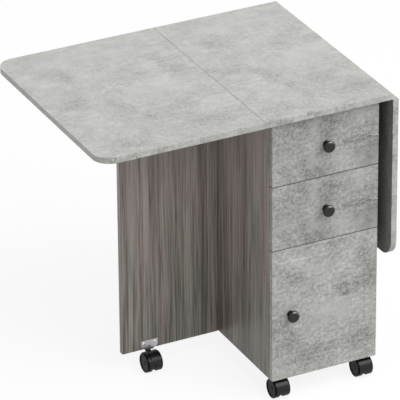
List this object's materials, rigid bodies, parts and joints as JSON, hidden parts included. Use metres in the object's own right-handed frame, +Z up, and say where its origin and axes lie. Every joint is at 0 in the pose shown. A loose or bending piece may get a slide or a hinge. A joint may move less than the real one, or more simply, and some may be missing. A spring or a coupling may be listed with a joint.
{
  "type": "folding dining table",
  "caption": "Narrow drawer and door cabinet on casters with a fixed centre top and drop leaves; swing-out gates carry the raised leaves.",
  "frame": {"origin": "on the floor, under the middle of the table's outline as it stands in the picture, with the left leaf up and the right leaf down", "axes": "+X along the table from the raised leaf to the hanging leaf, +Y from the drawer fronts to the back, +Z up"},
  "size_m": [0.786, 0.605, 0.773],
  "materials": {
    "top_laminate": "satin laminate with a soft cloudy pale concrete print",
    "front_laminate": "satin laminate with a speckled grey concrete print",
    "carcass_laminate": "matt laminate with an upright grey-brown wood grain",
    "drawer_board": "plain pale melamine board",
    "drawer_sheet": "thin painted hardboard",
    "knob_black": "satin charcoal lacquer",
    "hinge_steel": "bright nickel plate",
    "runner_steel": "zinc-plated sheet",
    "caster_zinc": "bright zinc plate",
    "caster_plastic": "glossy black moulded nylon",
    "wheel_plastic": "glossy black moulded nylon"
  },
  "bodies": {
    "cabinet": {"left_side_panel": "carcass_laminate", "right_side_panel": "carcass_laminate", "bottom_panel": "carcass_laminate", "back_panel": "carcass_laminate", "divider_shelf": "carcass_laminate", "top_stretchers": "carcass_laminate", "centre_top": "top_laminate", "leaf_hinge_plates": "hinge_steel", "leaf_hinge_pins": "hinge_steel", "gate_hinge_plates": "hinge_steel", "gate_hinge_pins": "hinge_steel", "cabinet_runners": "runner_steel", "door_hinge_arms": "hinge_steel", "caster_plates": "caster_zinc"},
    "left_leaf": {"left_leaf_board": "top_laminate", "left_leaf_hinge_flaps": "hinge_steel"},
    "right_leaf": {"right_leaf_board": "top_laminate", "right_leaf_hinge_flaps": "hinge_steel"},
    "left_gate": {"left_gate_panel": "carcass_laminate", "left_gate_hinge_flaps": "hinge_steel", "left_gate_bracket": "caster_zinc"},
    "right_gate": {"right_gate_panel": "carcass_laminate", "right_gate_hinge_flaps": "hinge_steel", "right_gate_bracket": "caster_zinc"},
    "door": {"door_panel": "front_laminate", "door_hinge_cups": "hinge_steel", "door_hinge_pins": "hinge_steel", "door_knob": "knob_black"},
    "upper_drawer": {"upper_drawer_front": "front_laminate", "upper_drawer_sides": "drawer_board", "upper_drawer_back": "drawer_board", "upper_drawer_base": "drawer_sheet", "upper_drawer_rails": "runner_steel", "upper_drawer_knob": "knob_black"},
    "lower_drawer": {"lower_drawer_front": "front_laminate", "lower_drawer_sides": "drawer_board", "lower_drawer_back": "drawer_board", "lower_drawer_base": "drawer_sheet", "lower_drawer_rails": "runner_steel", "lower_drawer_knob": "knob_black"},
    "front_left_caster": {"front_left_caster_hood": "caster_plastic"},
    "front_left_wheels": {"front_left_caster_wheels": "wheel_plastic", "front_left_caster_axle": "caster_zinc"},
    "front_right_caster": {"front_right_caster_hood": "caster_plastic"},
    "front_right_wheels": {"front_right_caster_wheels": "wheel_plastic", "front_right_caster_axle": "caster_zinc"},
    "rear_left_caster": {"rear_left_caster_hood": "caster_plastic"},
    "rear_left_wheels": {"rear_left_caster_wheels": "wheel_plastic", "rear_left_caster_axle": "caster_zinc"},
    "rear_right_caster": {"rear_right_caster_hood": "caster_plastic"},
    "rear_right_wheels": {"rear_right_caster_wheels": "wheel_plastic", "rear_right_caster_axle": "caster_zinc"},
    "left_gate_caster": {"left_gate_caster_hood": "caster_plastic"},
    "left_gate_wheels": {"left_gate_caster_wheels": "wheel_plastic", "left_gate_caster_axle": "caster_zinc"},
    "right_gate_caster": {"right_gate_caster_hood": "caster_plastic"},
    "right_gate_wheels": {"right_gate_caster_wheels": "wheel_plastic", "right_gate_caster_axle": "caster_zinc"},
    "left_gate_brake": {"left_gate_caster_lever": "caster_plastic"},
    "right_gate_brake": {"right_gate_caster_lever": "caster_plastic"}
  },
  "joints": [
    {"name": "left_leaf_lift", "type": "hinge", "parent": "cabinet", "child": "left_leaf", "pos_m": [0.0365, 0.0025, 0.7575], "axis": [0, 1, 0], "range_deg": [0, 2.5]},
    {"name": "right_leaf_lift", "type": "hinge", "parent": "cabinet", "child": "right_leaf", "pos_m": [0.3775, 0.0025, 0.7575], "axis": [0, -1, 0], "range_deg": [0, 90]},
    {"name": "left_gate_fold", "type": "hinge", "parent": "cabinet", "child": "left_gate", "pos_m": [0.061, 0.027, 0.406], "axis": [0, 0, -1], "range_deg": [0, 90]},
    {"name": "right_gate_unfold", "type": "hinge", "parent": "cabinet", "child": "right_gate", "pos_m": [0.353, 0.027, 0.406], "axis": [0, 0, -1], "range_deg": [0, 1.2]},
    {"name": "door_swing", "type": "hinge", "parent": "cabinet", "child": "door", "pos_m": [0.3439, -0.271, 0.2345], "axis": [0, 0, 1], "range_deg": [0, 90]},
    {"name": "upper_drawer_pull", "type": "slide", "parent": "cabinet", "child": "upper_drawer", "axis": [0, -1, 0], "range_m": [0, 0.3]},
    {"name": "lower_drawer_pull", "type": "slide", "parent": "cabinet", "child": "lower_drawer", "axis": [0, -1, 0], "range_m": [0, 0.3]},
    {"name": "front_left_swivel", "type": "hinge", "parent": "cabinet", "child": "front_left_caster", "pos_m": [0.092, -0.2385, 0.04], "axis": [0, 0, 1], "continuous": true},
    {"name": "front_left_roll", "type": "hinge", "parent": "front_left_caster", "child": "front_left_wheels", "pos_m": [0.092, -0.2565, 0.025], "axis": [1, 0, 0], "continuous": true},
    {"name": "front_right_swivel", "type": "hinge", "parent": "cabinet", "child": "front_right_caster", "pos_m": [0.322, -0.2385, 0.04], "axis": [0, 0, 1], "continuous": true},
    {"name": "front_right_roll", "type": "hinge", "parent": "front_right_caster", "child": "front_right_wheels", "pos_m": [0.322, -0.2565, 0.025], "axis": [1, 0, 0], "continuous": true},
    {"name": "rear_left_swivel", "type": "hinge", "parent": "cabinet", "child": "rear_left_caster", "pos_m": [0.145, 0.2435, 0.04], "axis": [0, 0, 1], "continuous": true},
    {"name": "rear_left_roll", "type": "hinge", "parent": "rear_left_caster", "child": "rear_left_wheels", "pos_m": [0.145, 0.2255, 0.025], "axis": [1, 0, 0], "continuous": true},
    {"name": "rear_right_swivel", "type": "hinge", "parent": "cabinet", "child": "rear_right_caster", "pos_m": [0.269, 0.2435, 0.04], "axis": [0, 0, 1], "continuous": true},
    {"name": "rear_right_roll", "type": "hinge", "parent": "rear_right_caster", "child": "rear_right_wheels", "pos_m": [0.269, 0.2255, 0.025], "axis": [1, 0, 0], "continuous": true},
    {"name": "left_gate_swivel", "type": "hinge", "parent": "left_gate", "child": "left_gate_caster", "pos_m": [-0.1285, 0.017, 0.04], "axis": [0, 0, 1], "continuous": true},
    {"name": "left_gate_roll", "type": "hinge", "parent": "left_gate_caster", "child": "left_gate_wheels", "pos_m": [-0.1285, -0.001, 0.025], "axis": [1, 0, 0], "continuous": true},
    {"name": "right_gate_swivel", "type": "hinge", "parent": "right_gate", "child": "right_gate_caster", "pos_m": [0.363, 0.2165, 0.04], "axis": [0, 0, 1], "continuous": true},
    {"name": "right_gate_roll", "type": "hinge", "parent": "right_gate_caster", "child": "right_gate_wheels", "pos_m": [0.363, 0.1985, 0.025], "axis": [1, 0, 0], "continuous": true},
    {"name": "left_gate_brake_tip", "type": "hinge", "parent": "left_gate_caster", "child": "left_gate_brake", "pos_m": [-0.1285, -0.00497, 0.05322], "axis": [-1, 0, 0], "range_deg": [0, 10]},
    {"name": "right_gate_brake_tip", "type": "hinge", "parent": "right_gate_caster", "child": "right_gate_brake", "pos_m": [0.363, 0.19453, 0.05322], "axis": [-1, 0, 0], "range_deg": [0, 10]}
  ]
}
